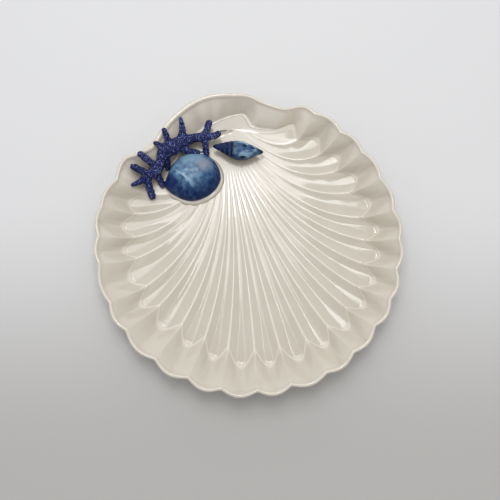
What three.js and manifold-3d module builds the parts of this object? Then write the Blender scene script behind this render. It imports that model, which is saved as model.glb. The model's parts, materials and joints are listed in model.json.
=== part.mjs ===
// Shell plate: a fluted scallop dish with a coral spray and two small shells luted near its hinge.
// Millimetres, +Z up, the hinge towards +Y, the underside of the foot at z = 0.
import * as THREE from "three";
import { mergeVertices } from "three/addons/utils/BufferGeometryUtils.js";
import Module from "manifold-3d";

const wasm = await Module();
wasm.setup();
const { lerp, degToRad, smoothstep } = THREE.MathUtils;

// Dish
const RIM_RADIUS = 141.5; // out to the cusps between two lobes
const RIM_HEIGHT = 30; // top of the lip above the table
const LIP_ROUND = 2.2; // half the thickness of the lip
const FLOOR_THICKNESS = 4.5;
const FLUTE_DEPTH = 2.8; // crest over valley at the foot of the wall
const SLOPE_SHARE = 0.31; // of a lobe, from a crest down to the flat of its valley
const LEDGE_RISE = 2; // the hinge ledge over the floor
const FOOT_HEIGHT = 5;
const FOOT_INSET = 57.4; // from the cusps in to the middle of the foot ring
const FOOT_WIDTH = 7;
const SEAM = 0.3; // slip between two luted pieces

// Where the crests of the flutes meet the rim, from the hinge round to it again: degrees anticlockwise
// from +X, and how far the cusp lies outside the rim radius
const CUSPS = [
  [62.6, 0], [49.7, -2], [37.9, -1.5], [25, -1], [11.4, -0.5], [0, 1.5], [-11.7, 0.5], [-23.4, 2.5], [-35, 1],
  [-47.6, 1.5], [-60, 1.5], [-73.8, -0.8], [-86.6, -0.8], [-100.2, -0.6], [-113.2, -1.5], [-127.4, -0.6],
  [-142.9, 0.2], [-154.8, 1], [-170.3, 1], [-181.1, 1], [-193, 3], [-204.7, -1.5],
];
const LOBES = CUSPS.length - 1;

// By degrees along the rim: a lobe's middle past its cusps, and the run of the wall seen from above
const LOBE_SWELL = [[62.6, 3.4], [0, 3.2], [-45, 3.9], [-90, 4.8], [-125, 4.6], [-165, 2.8], [-204.7, 2.4]];
const WALL_RUN = [
  [62.6, 22], [0, 20], [-30, 22], [-60, 26], [-90, 29], [-120, 33], [-150, 29], [-204.7, 24],
];
const HINGE_WALL_RUN = [
  [155.3, 29], [132, 18], [118, 16], [105, 16], [92, 10], [82, 21], [76, 18], [70, 11], [62.6, 29],
];
const VALLEY_REACH = -2; // the wall's run is shorter in a valley
const CREST_REACH = 7; // and longer on a crest
const WALL_FOLD = 4.5; // how far a lobe's wall folds out between its crests

// Hinge ear between the last crest and the first: degrees, and how far the rim lies outside the rim radius
const HINGE_RIM = [
  [155.3, -1.5], [147, 3], [142, -3.5], [135.5, -8.5], [128.4, -4], [121, 1.5], [108, 7.5], [95, 4],
  [90, 2], [84, -4], [75.2, -6.7], [68, 1.5], [62.6, 0],
];

// Hub where the flutes start, and the points of its edge measured from its middle
const HUB_INSET = 44; // in from the cusps
const HUB_ANGLE = 106.7;
const HUB_TOP = [17, 27.5];
const HUB_LEFT = [-16, -22.5];
const HUB_LOW_BEND = [25, -28.5];
const HUB_HIGH_BEND = [-25, 20.5];

// Course of a flute: how far out it bends, as a share of the rim radius
const STRAIGHT_ANGLE = -75; // the flute that runs straightest
const BEND_SHARE = 0.25; // there
const BEND_GROWTH = 0.35; // added beside the hinge
const BEND_SPAN = 137; // degrees from the straightest flute to the hinge
const HINGE_BEND_SHARE = 0.88;
const VALLEY_FILLET = 0.3; // of the wall's run, where it curves up from the floor
const CREST_FILLET = 0.35;
const HINGE_FILLET = 0.15;

// Hinge, in shares of its way from the last crest round to the first
const HINGE_ROUND = 0.6; // below 1 the smooth wall starts sooner
const CREST_FADE = 0.08; // where the last crest dies away
const LEDGE_LEFT = [0.2, 0.5]; // where the ledge starts and where it is whole
const LEDGE_RIGHT = 0.3; // from its other end back to where it is whole

// Cockle and spiral shell, placed from the middle of the hub
const COCKLE_PLACE = [-27, -30];
const COCKLE_OUTLINE = [ // degrees, and millimetres out from its middle
  [0, 28], [41, 27.6], [90, 25.2], [133, 23.8], [170, 24.2], [188, 26.6], [199, 27.6], [212, 26],
  [230, 23.6], [260, 22.9], [301, 22.9], [330, 25.2], [360, 28],
];
const COCKLE_HEIGHT = 17;
const BED_RISE = 3; // top of a bed over the floor
const BED_SINK = 1; // a bed's stock below the floor, before the dish cuts it
const BED_EDGE = 1.6; // how far the cockle's bed shows past it
const SPIRAL_TIP = [-6.9, 0.6];
const SPIRAL_END = [42.4, -5.6];
const SPIRAL_RADIUS = 9.4;
const SPIRAL_LIFT = 1; // under the widest whorl
const SPIRAL_BED_HALF = [14, 5];
const SPIRAL_WIDEST = 0.52; // of its length from the tip
const BED_FLARE = 1.06; // a bed's foot over its top

// Spiral shell's outline from tip to canal: share of its radius, share of its length
const SPIRAL_PROFILE = [
  [0, 0], [0.16, 0.01], [0.34, 0.1], [0.3, 0.115], [0.56, 0.21], [0.52, 0.225], [0.78, 0.32], [0.74, 0.335],
  [0.95, 0.42], [1, SPIRAL_WIDEST], [0.94, 0.64], [0.76, 0.78], [0.52, 0.9], [0.3, 0.98], [0, 1],
];

// Coral coils
const STEM_END_RADIUS = 4.2;
const STEM_RADIUS = 5.8;
const STEM_KNOT_RADIUS = 7.6;
const TWIG_RADIUS = 3.4;
const TIP_RADIUS = 2.8;
const TWIG_MIDDLE_TIP = 2.2;
const POINT_RADIUS = 1.6;
const LEG_RADIUS = 3;
const LEG_SEAT = 2.2; // a leg's centre line over the dish where it is luted on

// Centre lines: across and up from the middle of the hub, then over the dish
const CORAL_STEM = {
  points: [[-15.5, 10, 11], [-22.5, 9.5, 9.5], [-34.5, 6, 9], [-44, 0, 9.4], [-52.5, -6.5, 8.3],
    [-56.5, -15, 11], [-61.5, -24.5, 11], [-70.5, -30, 9.4]],
  radii: [STEM_END_RADIUS, STEM_END_RADIUS, STEM_RADIUS, STEM_KNOT_RADIUS, STEM_KNOT_RADIUS, STEM_END_RADIUS,
    STEM_RADIUS, STEM_END_RADIUS],
};
const CORAL_COILS = {
  twig_top_right: {
    points: [[-15.5, 10, 11], [-13, 16.5, 10.5], [-10.5, 24, 10.3]],
    radii: [TWIG_RADIUS, TIP_RADIUS],
  },
  twig_far_right: {
    points: [[-15, 10, 11.2], [-8, 10.1, 11.5], [-1.7, 12.7, 11.5]],
    radii: [TWIG_RADIUS, TIP_RADIUS],
  },
  leg_right: {
    points: [[-15, 9, 11.2], [-14, 0.5, 8], [-13.5, -8.5, LEG_SEAT]],
    radii: [LEG_RADIUS, TIP_RADIUS],
  },
  twig_tall: {
    points: [[-39, 4.5, 9], [-36.2, 15.5, 9.2], [-37.3, 24.5, 7.3]],
    radii: [STEM_END_RADIUS, POINT_RADIUS],
  },
  twig_middle: {
    points: [[-47.7, -2, 8.6], [-50.3, 5.7, 6.8], [-53, 12.5, 5.4]],
    radii: [LEG_RADIUS, TWIG_MIDDLE_TIP],
  },
  twig_stub: {
    points: [[-52, -5.5, 7.8], [-55.5, -2.5, 6.5], [-61.2, -0.2, 4.9]],
    radii: [TWIG_RADIUS, POINT_RADIUS],
  },
  branch_low: {
    points: [[-42, 0.5, 10], [-32.5, -3.5, 8.8], [-22, -5.5, 8.3]],
    radii: [TWIG_RADIUS, TIP_RADIUS],
  },
  leg_middle: {
    points: [[-53.5, -10, 8.8], [-51, -14.5, 7], [-51.5, -18.5, LEG_SEAT]],
    radii: [LEG_RADIUS, TIP_RADIUS],
  },
  twig_upper_left: {
    points: [[-60, -22, 11.8], [-66.3, -17.7, 11.5], [-75, -11.5, 6.3]],
    radii: [TWIG_RADIUS, TIP_RADIUS],
  },
  twig_left: {
    points: [[-68, -28.5, 10], [-74.3, -26.2, 12], [-82.2, -22.9, 7.9]],
    radii: [TWIG_RADIUS, TIP_RADIUS],
  },
  twig_pointed: {
    points: [[-70, -30, 9.4], [-75.5, -35.9, 9.2], [-82.7, -40.2, 5.6]],
    radii: [TWIG_RADIUS, POINT_RADIUS],
  },
  twig_flared: {
    points: [[-70, -30, 9.4], [-68.2, -39.3, 6.5], [-65.6, -47.9, LEG_SEAT]],
    radii: [LEG_RADIUS, TWIG_RADIUS],
  },
  leg_left: {
    points: [[-62.5, -25, 11], [-58.5, -31, 6.7], [-55.8, -36.5, LEG_SEAT]],
    radii: [LEG_RADIUS, TIP_RADIUS],
  },
};

// Mesh fineness
const COLUMNS_PER_LOBE = 6;
const HINGE_COLUMNS = 36;
const FLOOR_ROWS = 8;
const WALL_ROWS = 5;
const LIP_ROWS = 4;
const COIL_SIDES = 10;
const COIL_STEPS = 4; // between two points of its centre line
const ROUND_SIDES = 36;
const DOME_ROWS = 6;
const SPIRAL_SIDES = 24;
const RING_SIDES = 60;

// Sizes that follow
const LIP_WIDTH = 2 * LIP_ROUND;
const LIP_Z = RIM_HEIGHT - LIP_ROUND;
const FLOOR_Z = FOOT_HEIGHT + FLOOR_THICKNESS;
const BED_Z = FLOOR_Z + BED_RISE;
const FOOT_RADIUS = RIM_RADIUS - FOOT_INSET;
const FLUTE_COLUMNS = LOBES * COLUMNS_PER_LOBE;
const COLUMNS = FLUTE_COLUMNS + HINGE_COLUMNS;
const HUB_MIDDLE = polar(RIM_RADIUS - HUB_INSET, HUB_ANGLE);

function polar(radius, degrees) {
  return new THREE.Vector2(Math.cos(degToRad(degrees)), Math.sin(degToRad(degrees))).multiplyScalar(radius);
}

function fromHub([x, y]) {
  return new THREE.Vector2(x, y).add(HUB_MIDDLE);
}

// Smooth curve through rows of degrees and millimetres
function splineOf(rows) {
  return new THREE.SplineCurve(rows.map(([angle, out]) => new THREE.Vector2(angle, out)));
}

// Solids for adding and cutting, made from a geometry and turned back into one
function solidOf(geometry) {
  const bare = new THREE.BufferGeometry().setIndex(geometry.index);
  bare.setAttribute("position", geometry.getAttribute("position"));
  const welded = mergeVertices(bare, 1e-3);
  const corners = [];
  for (let i = 0; i < welded.index.count; i += 3) {
    const [a, b, c] = welded.index.array.slice(i, i + 3);
    if (a !== b && b !== c && c !== a) corners.push(a, b, c);
  }
  const mesh = new wasm.Mesh({
    numProp: 3,
    vertProperties: new Float32Array(welded.getAttribute("position").array),
    triVerts: new Uint32Array(corners),
  });
  return new wasm.Manifold(mesh);
}

function geometryOf(solid) {
  const mesh = solid.getMesh();
  const geometry = new THREE.BufferGeometry();
  geometry.setAttribute("position", new THREE.BufferAttribute(mesh.vertProperties, 3));
  geometry.setIndex(new THREE.BufferAttribute(mesh.triVerts, 1));
  geometry.computeVertexNormals();
  return geometry;
}

// A closed skin: rows of points from one pole to the other, one list of rows for each column round it
function skin(columns) {
  const rows = columns[0].length;
  const blank = columns[0].map((point, row) => new THREE.Vector2(1, row));
  const geometry = new THREE.LatheGeometry(blank, columns.length);
  const place = geometry.getAttribute("position");
  for (let i = 0; i <= columns.length; i++) {
    columns[i % columns.length].forEach((p, j) => place.setXYZ(i * rows + j, p.x, p.y, p.z));
  }
  return geometry;
}

// Dish: one station for each column, with its rim point, its hub point and the bend between them
const hubTop = fromHub(HUB_TOP);
const hubLeft = fromHub(HUB_LEFT);
const hubLow = new THREE.QuadraticBezierCurve(hubTop, fromHub(HUB_LOW_BEND), hubLeft);
const hubHigh = new THREE.QuadraticBezierCurve(hubLeft, fromHub(HUB_HIGH_BEND), hubTop);
const hingeRim = splineOf(HINGE_RIM);

function bendShare(degrees) {
  return BEND_SHARE + BEND_GROWTH * ((degrees - STRAIGHT_ANGLE) / BEND_SPAN) ** 2;
}

// Value of a falling table of degrees and millimetres, eased between its rows
function alongRim(table, degrees) {
  const row = Math.max(1, table.findIndex(([angle]) => degrees >= angle));
  const [[start, first], [end, second]] = table.slice(row - 1, row + 1);
  return lerp(first, second, smoothstep((start - degrees) / (start - end), 0, 1));
}

function fluteStation(u) {
  const lobe = Math.min(Math.floor(u), LOBES - 1);
  const across = u - lobe;
  const [angle, out] = CUSPS[lobe].map((value, i) => lerp(value, CUSPS[lobe + 1][i], across));
  const swell = alongRim(LOBE_SWELL, angle) * Math.sin(Math.PI * across);
  const rim = polar(RIM_RADIUS + out + swell, angle);
  const bend = rim.clone().multiplyScalar(bendShare(angle));
  const crest = 1 - Math.min(1, Math.min(across, 1 - across) / SLOPE_SHARE);
  const wall = alongRim(WALL_RUN, angle) + lerp(VALLEY_REACH, CREST_REACH, crest);
  const fold = WALL_FOLD * (0.5 - Math.abs(2 * across - 1));
  const fillet = lerp(VALLEY_FILLET, CREST_FILLET, crest);
  return { rim, bend, hub: hubLow.getPoint(u / LOBES), crest, wall, fold, fillet, ledge: 0 };
}

function hingeStation(v) {
  const { x: angle, y: out } = hingeRim.getPoint(v);
  const hinge = Math.sin(Math.PI * v) ** HINGE_ROUND;
  const rim = polar(RIM_RADIUS + out, angle);
  const ends = lerp(bendShare(CUSPS[LOBES][0]), bendShare(CUSPS[0][0]), v);
  const bend = rim.clone().multiplyScalar(lerp(ends, HINGE_BEND_SHARE, hinge));
  const crest = 1 - smoothstep(Math.min(v, 1 - v), 0, CREST_FADE);
  const ledge = smoothstep(v, ...LEDGE_LEFT) * smoothstep(1 - v, 0, LEDGE_RIGHT);
  const wall = alongRim(HINGE_WALL_RUN, angle);
  const fold = -0.5 * WALL_FOLD * crest;
  const fillet = lerp(HINGE_FILLET, CREST_FILLET, crest);
  return { rim, bend, hub: hubHigh.getPoint(v), crest, wall, fold, fillet, ledge };
}

function station(column) {
  if (column <= FLUTE_COLUMNS) return fluteStation(column / COLUMNS_PER_LOBE);
  return hingeStation((column - FLUTE_COLUMNS) / HINGE_COLUMNS);
}

// Rise of the wall from its foot to the lip: a fillet, then a straight slope
function wallRise(share, fillet) {
  const straight = 1 - fillet / 2;
  if (share < fillet) return share ** 2 / (2 * fillet) / straight;
  return (share - fillet / 2) / straight;
}

function dishColumn(column) {
  const { rim, bend, hub, crest, wall, fold, fillet, ledge } = station(column);
  const out = rim.clone().normalize();
  const lip = rim.clone().addScaledVector(out, -LIP_WIDTH);
  const path = new THREE.QuadraticBezierCurve(hub, bend, lip);
  const foot = 1 - wall / (2 * lip.distanceTo(bend));
  const folded = (share) => fold * Math.sin(Math.PI * share);
  const wallPlan = (share) => path.getPoint(lerp(foot, 1, share)).addScaledVector(out, folded(share));
  const ledgeZ = (share) => ledge * LEDGE_RISE * smoothstep(share, 0, 1);
  const floorZ = (share) => FLOOR_Z + crest * FLUTE_DEPTH * share + ledgeZ(share);
  const rows = [];
  const add = (plan, z) => rows.push(new THREE.Vector3(plan.x, plan.y, z));
  add(HUB_MIDDLE, FLOOR_Z);
  for (let j = 0; j <= FLOOR_ROWS; j++) {
    add(path.getPoint((foot * j) / FLOOR_ROWS), floorZ(j / FLOOR_ROWS));
  }
  for (let j = 1; j <= WALL_ROWS; j++) {
    const share = j / WALL_ROWS;
    add(wallPlan(share), lerp(floorZ(1), LIP_Z, wallRise(share, fillet)));
  }
  for (let j = 1; j <= LIP_ROWS; j++) {
    const turn = (Math.PI * j) / LIP_ROWS;
    const over = lip.clone().addScaledVector(out, LIP_ROUND * (1 - Math.cos(turn)));
    add(over, LIP_Z + LIP_ROUND * Math.sin(turn));
  }
  for (let j = WALL_ROWS - 1; j >= 0; j--) {
    const share = j / WALL_ROWS;
    const plan = wallPlan(share).addScaledVector(out, LIP_WIDTH * share);
    add(plan, lerp(FOOT_HEIGHT, LIP_Z, wallRise(share, fillet)));
  }
  add(HUB_MIDDLE, FOOT_HEIGHT);
  return rows;
}

const dish = solidOf(skin(Array.from({ length: COLUMNS }, (_, column) => dishColumn(column))));
const slipShrink = 1 - SEAM / RIM_RADIUS;
const dishRoom = dish.scale([slipShrink, slipShrink, 1]).translate([0, 0, SEAM]);

// Height of the dish's upper face under a point
const dishFace = new THREE.Mesh(geometryOf(dish), new THREE.MeshStandardMaterial());
function dishTop({ x, y }) {
  const ray = new THREE.Raycaster(new THREE.Vector3(x, y, 2 * RIM_HEIGHT), new THREE.Vector3(0, 0, -1));
  return ray.intersectObject(dishFace)[0].point.z;
}

// Foot ring under the floor, its lower edges rounded
function footRing() {
  const half = FOOT_WIDTH / 2;
  const top = FOOT_HEIGHT - SEAM;
  const section = new THREE.Path();
  section.moveTo(FOOT_RADIUS - half, top);
  section.lineTo(FOOT_RADIUS - half, half / 2);
  section.quadraticCurveTo(FOOT_RADIUS - half, 0, FOOT_RADIUS - half / 2, 0);
  section.lineTo(FOOT_RADIUS + half / 2, 0);
  section.quadraticCurveTo(FOOT_RADIUS + half, 0, FOOT_RADIUS + half, half / 2);
  section.lineTo(FOOT_RADIUS + half, top);
  section.lineTo(FOOT_RADIUS - half, top);
  const ring = new THREE.LatheGeometry(section.getPoints(2), RING_SIDES);
  return solidOf(ring.rotateX(Math.PI / 2));
}

// A rolled coil of clay along its centre line, with round ends; extra widens it into the room it needs
function coilPoints({ points }) {
  return points.map(([x, y, lift]) => {
    const plan = fromHub([x, y]);
    return new THREE.Vector3(plan.x, plan.y, dishTop(plan) + lift);
  });
}

function coil(shape, extra = 0) {
  const points = coilPoints(shape);
  const line = new THREE.CatmullRomCurve3(points);
  const steps = COIL_STEPS * (points.length - 1);
  const frames = line.computeFrenetFrames(steps, false);
  const spans = shape.radii.length - 1;
  const radiusAt = (share) => {
    const span = Math.min(Math.floor(share * spans), spans - 1);
    return lerp(shape.radii[span], shape.radii[span + 1], share * spans - span) + extra;
  };
  const rings = [];
  const ring = (step, along, radius) => {
    const middle = line.getPointAt(step / steps).addScaledVector(frames.tangents[step], along);
    rings.push({ middle, radius, side: frames.normals[step], up: frames.binormals[step] });
  };
  const [first, last] = [radiusAt(0), radiusAt(1)];
  ring(0, -first, 0);
  ring(0, -first * Math.SQRT1_2, first * Math.SQRT1_2);
  for (let step = 0; step <= steps; step++) ring(step, 0, radiusAt(step / steps));
  ring(steps, last * Math.SQRT1_2, last * Math.SQRT1_2);
  ring(steps, last, 0);
  const columns = Array.from({ length: COIL_SIDES }, (_, i) => {
    const turn = (2 * Math.PI * i) / COIL_SIDES;
    return rings.map(({ middle, radius, side, up }) => {
      const across = side.clone().multiplyScalar(Math.cos(turn)).addScaledVector(up, Math.sin(turn));
      return middle.clone().addScaledVector(across, radius);
    });
  });
  return solidOf(skin(columns));
}

// A cockle or a pad of slip: rows of [share of the outline, height] round its middle, from its foot up
function mound(outline, rows) {
  const columns = Array.from({ length: ROUND_SIDES }, (_, i) => {
    const edge = outline(i / ROUND_SIDES);
    return rows.map(([share, z]) => new THREE.Vector3(edge.x * share, edge.y * share, z));
  });
  return skin(columns);
}

// Cockle: a pressed dome on its bed; grow widens it into the room it needs
const cocklePlan = fromHub(COCKLE_PLACE);
const cockleRound = splineOf(COCKLE_OUTLINE);
function cockleEdge(grow) {
  return (share) => {
    const { x: angle, y: out } = cockleRound.getPoint(share);
    return polar(out + grow, angle);
  };
}

function dome(grow) {
  const rows = [[0, 0]];
  for (let j = 0; j <= DOME_ROWS; j++) {
    const turn = ((Math.PI / 2) * j) / DOME_ROWS;
    rows.push([Math.cos(turn), (COCKLE_HEIGHT + 2 * grow) * Math.sin(turn)]);
  }
  return solidOf(mound(cockleEdge(grow), rows).translate(cocklePlan.x, cocklePlan.y, BED_Z + SEAM - grow));
}

// A pad of slip on the dish, whose foot the dish cuts to shape
function bed(plan, outline, grow = 0) {
  const top = BED_Z + grow;
  const pad = mound(outline, [[0, FLOOR_Z - BED_SINK], [BED_FLARE, FLOOR_Z - BED_SINK], [1, top], [0, top]]);
  return solidOf(pad.translate(plan.x, plan.y, 0));
}

// Spiral shell: a spindle with stepped whorls, lying on its side; grow widens it into the room it needs
const spiralTip = fromHub(SPIRAL_TIP);
const spiralEnd = fromHub(SPIRAL_END);
const spiralAxis = spiralEnd.clone().sub(spiralTip);
const spiralMiddle = spiralTip.clone().lerp(spiralEnd, SPIRAL_WIDEST);
function spiralBedEdge(share) {
  const turn = 2 * Math.PI * share;
  const edge = new THREE.Vector2(SPIRAL_BED_HALF[0] * Math.cos(turn), SPIRAL_BED_HALF[1] * Math.sin(turn));
  return edge.rotateAround(new THREE.Vector2(), spiralAxis.angle());
}

function spindle(grow) {
  const length = spiralAxis.length();
  const points = SPIRAL_PROFILE.map(([radius, along]) => {
    const wide = radius > 0 ? radius * SPIRAL_RADIUS + grow : 0;
    return new THREE.Vector2(wide, (1 - along) * (length + 2 * grow) - grow);
  });
  const shell = new THREE.LatheGeometry(points.reverse(), SPIRAL_SIDES).rotateZ(Math.PI / 2);
  shell.translate(length, 0, 0).rotateZ(spiralAxis.angle());
  return solidOf(shell.translate(spiralTip.x, spiralTip.y, FLOOR_Z + SPIRAL_LIFT + SPIRAL_RADIUS));
}

// Assembly: each piece in its own frame, at its own place
const root = new THREE.Group();
root.name = "shell_plate";
const CREAM = { color: 0xe9e2d3, roughness: 0.12, metalness: 0 };
const COBALT = { color: 0x1c2464, roughness: 0.2, metalness: 0 };
const SEA_BLUE = { color: 0x4f7fb4, roughness: 0.15, metalness: 0 };

function group(name) {
  const made = new THREE.Group();
  made.name = name;
  root.add(made);
  return made;
}

function place(parent, name, solid, look, { x, y, z = 0 }) {
  const geometry = geometryOf(solid).translate(-x, -y, -z);
  const mesh = new THREE.Mesh(geometry, new THREE.MeshStandardMaterial(look));
  mesh.name = name;
  mesh.position.set(x, y, z);
  parent.add(mesh);
}

const dishGroup = group("dish");
place(dishGroup, "plate_body", dish, CREAM, { x: 0, y: 0, z: FOOT_HEIGHT });
place(dishGroup, "foot_ring", footRing(), CREAM, { x: 0, y: 0 });

const cockleGroup = group("cockle");
const bedPlan = fromHub([COCKLE_PLACE[0] + BED_EDGE / 2, COCKLE_PLACE[1] - BED_EDGE]);
const cockleBed = bed(bedPlan, cockleEdge(BED_EDGE / 2)).subtract(dishRoom);
place(cockleGroup, "cockle_shell", dome(0).subtract(dishRoom), SEA_BLUE, { ...cocklePlan, z: BED_Z });
place(cockleGroup, "cockle_bed", cockleBed, CREAM, { ...bedPlan, z: FLOOR_Z });

const spiralGroup = group("spiral");
const spiralBed = bed(spiralMiddle, spiralBedEdge).subtract(dishRoom.add(spindle(SEAM)));
place(spiralGroup, "spiral_shell", spindle(0).subtract(dishRoom), SEA_BLUE, { ...spiralMiddle, z: BED_Z });
place(spiralGroup, "spiral_bed", spiralBed, CREAM, { ...spiralMiddle, z: FLOOR_Z });

const coralGroup = group("coral");
const bedRoom = bed(bedPlan, cockleEdge(BED_EDGE / 2 + SEAM), SEAM);
const kept = dishRoom.add(dome(SEAM)).add(bedRoom).add(spindle(SEAM));
place(coralGroup, "coral_stem", coil(CORAL_STEM).subtract(kept), COBALT, coilPoints(CORAL_STEM)[0]);
let taken = kept.add(coil(CORAL_STEM, SEAM));
for (const [name, shape] of Object.entries(CORAL_COILS)) {
  place(coralGroup, name, coil(shape).subtract(taken), COBALT, coilPoints(shape)[0]);
  taken = taken.add(coil(shape, SEAM));
}

// Origin in the middle of the footprint, on the table
const box = new THREE.Box3().setFromObject(root);
const middle = box.getCenter(new THREE.Vector3());
root.position.set(-middle.x, -middle.y, -box.min.z);

export default root;
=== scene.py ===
# Shell plate: a fluted scallop dish with a coral spray and two small shells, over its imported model
import json
import math

import bmesh
import bpy
from bpy.props import FloatProperty, FloatVectorProperty, IntProperty, PointerProperty
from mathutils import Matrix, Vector, noise


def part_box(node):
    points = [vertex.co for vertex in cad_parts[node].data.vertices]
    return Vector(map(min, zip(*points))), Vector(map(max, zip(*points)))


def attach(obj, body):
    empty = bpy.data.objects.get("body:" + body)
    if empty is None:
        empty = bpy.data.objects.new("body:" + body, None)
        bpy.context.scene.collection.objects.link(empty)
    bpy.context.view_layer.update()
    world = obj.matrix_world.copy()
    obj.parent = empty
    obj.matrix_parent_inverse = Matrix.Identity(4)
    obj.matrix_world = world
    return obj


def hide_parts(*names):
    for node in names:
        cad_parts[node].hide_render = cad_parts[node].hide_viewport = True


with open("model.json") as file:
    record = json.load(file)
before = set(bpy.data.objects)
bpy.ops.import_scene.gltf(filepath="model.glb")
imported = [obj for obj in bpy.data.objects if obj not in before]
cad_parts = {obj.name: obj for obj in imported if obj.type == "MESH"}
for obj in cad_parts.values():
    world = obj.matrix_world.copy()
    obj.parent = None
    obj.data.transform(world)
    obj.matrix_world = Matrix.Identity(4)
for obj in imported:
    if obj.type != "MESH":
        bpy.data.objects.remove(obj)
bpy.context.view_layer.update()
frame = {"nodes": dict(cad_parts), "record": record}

bl_info = {
    "name": "Shell Plate",
    "version": (1, 0, 0),
    "blender": (4, 5, 0),
    "location": "View3D > Sidebar > Shell Plate",
    "description": "A glazed scallop dish with an applied coral spray, a cockle and a spiral shell",
    "category": "Object",
}

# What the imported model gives
MM = 0.001
DISH_LOW, DISH_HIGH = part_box("plate_body")
RING_LOW, RING_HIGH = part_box("foot_ring")
COCKLE_LOW, COCKLE_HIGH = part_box("cockle_shell")
BED_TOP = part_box("cockle_bed")[1].z
SPIRAL_LOW, SPIRAL_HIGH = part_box("spiral_shell")
DISH_MIDDLE = (RING_LOW.xy + RING_HIGH.xy) / 2
FOOT_TOP = DISH_LOW.z
CORAL_NODES = [
    slot["node"] for slot in frame["record"]["subparts"] if slot["material_slot"] == "cobalt_glaze"
]

# Where the crests meet the rim, from the hinge round to it again: degrees anticlockwise from +X,
# and millimetres outside the circle of the cusps
CUSPS = [
    (62.6, 0), (49.7, -2), (37.9, -1.5), (25, -1), (11.4, -0.5), (0, 1.5), (-11.7, 0.5),
    (-23.4, 2.5), (-35, 1), (-47.6, 1.5), (-60, 1.5), (-73.8, -0.8), (-86.6, -0.8),
    (-100.2, -0.6), (-113.2, -1.5), (-127.4, -0.6), (-142.9, 0.2), (-154.8, 1), (-170.3, 1),
    (-181.1, 1), (-193, 3), (-204.7, -1.5),
]
LOBES = len(CUSPS) - 1
FIRST, LAST = CUSPS[0][0], CUSPS[-1][0]

# Hinge ear: degrees, and millimetres outside the circle of the cusps
HINGE_RIM = [
    (155.3, -1.5), (147, 3), (142, -3.5), (135.5, -8.5), (128.4, -4), (121, 1.5), (108, 7.5),
    (95, 4), (90, 2), (84, -4), (75.2, -6.7), (68, 1.5), (62.6, 0),
]

# Degrees along the rim, and millimetres: how far a lobe swells there, and how wide the wall is
# from above
LOBE_SWELL = [
    (62.6, 3.4), (0, 3.2), (-45, 3.9), (-90, 4.8), (-125, 4.6), (-165, 2.8), (-204.7, 2.4),
]
WALL_RUN = [
    (62.6, 22), (0, 20), (-30, 22), (-60, 26), (-90, 29), (-120, 33), (-150, 29), (-204.7, 24),
]
HINGE_WALL_RUN = [
    (155.3, 29), (132, 18), (118, 16), (105, 16), (92, 10), (82, 21), (76, 18), (70, 11),
    (62.6, 29),
]

# Hub edge: millimetres from the middle of the hub
HUB_TOP, HUB_LEFT = Vector((17, 27.5)) * MM, Vector((-16, -22.5)) * MM
HUB_LOW_BEND, HUB_HIGH_BEND = Vector((25, -28.5)) * MM, Vector((-25, 20.5)) * MM

# Small shells, in millimetres from the middle of the hub; the cockle's outline in degrees and
# millimetres from its own middle
COCKLE_PLACE, COCKLE_BED_SHIFT = Vector((-27, -30)) * MM, Vector((0.8, -1.6)) * MM
COCKLE_OUTLINE = [
    (0, 28), (41, 27.6), (90, 25.2), (133, 23.8), (170, 24.2), (188, 26.6), (199, 27.6),
    (212, 26), (230, 23.6), (260, 22.9), (301, 22.9), (330, 25.2), (360, 28),
]
SPIRAL_TIP, SPIRAL_END = Vector((-6.9, 0.6)) * MM, Vector((42.4, -5.6)) * MM

# Spiral shell from tip to canal: share of its length, share of its widest radius
SPIRAL_PROFILE = [
    (0, 0), (0.02, 0.14), (0.1, 0.32), (0.2, 0.53), (0.3, 0.74), (0.4, 0.92), (0.5, 1),
    (0.62, 0.95), (0.76, 0.7), (0.85, 0.48), (0.93, 0.28), (0.985, 0.13), (1, 0),
]
# Dark slits along its upper side and one dash low on its front: start and end along it, and
# degrees round it
SPIRAL_SLITS = [(0.58, 0.68, 24), (0.75, 0.84, 22), (0.88, 0.96, 10), (0.55, 0.67, -62)]


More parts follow.
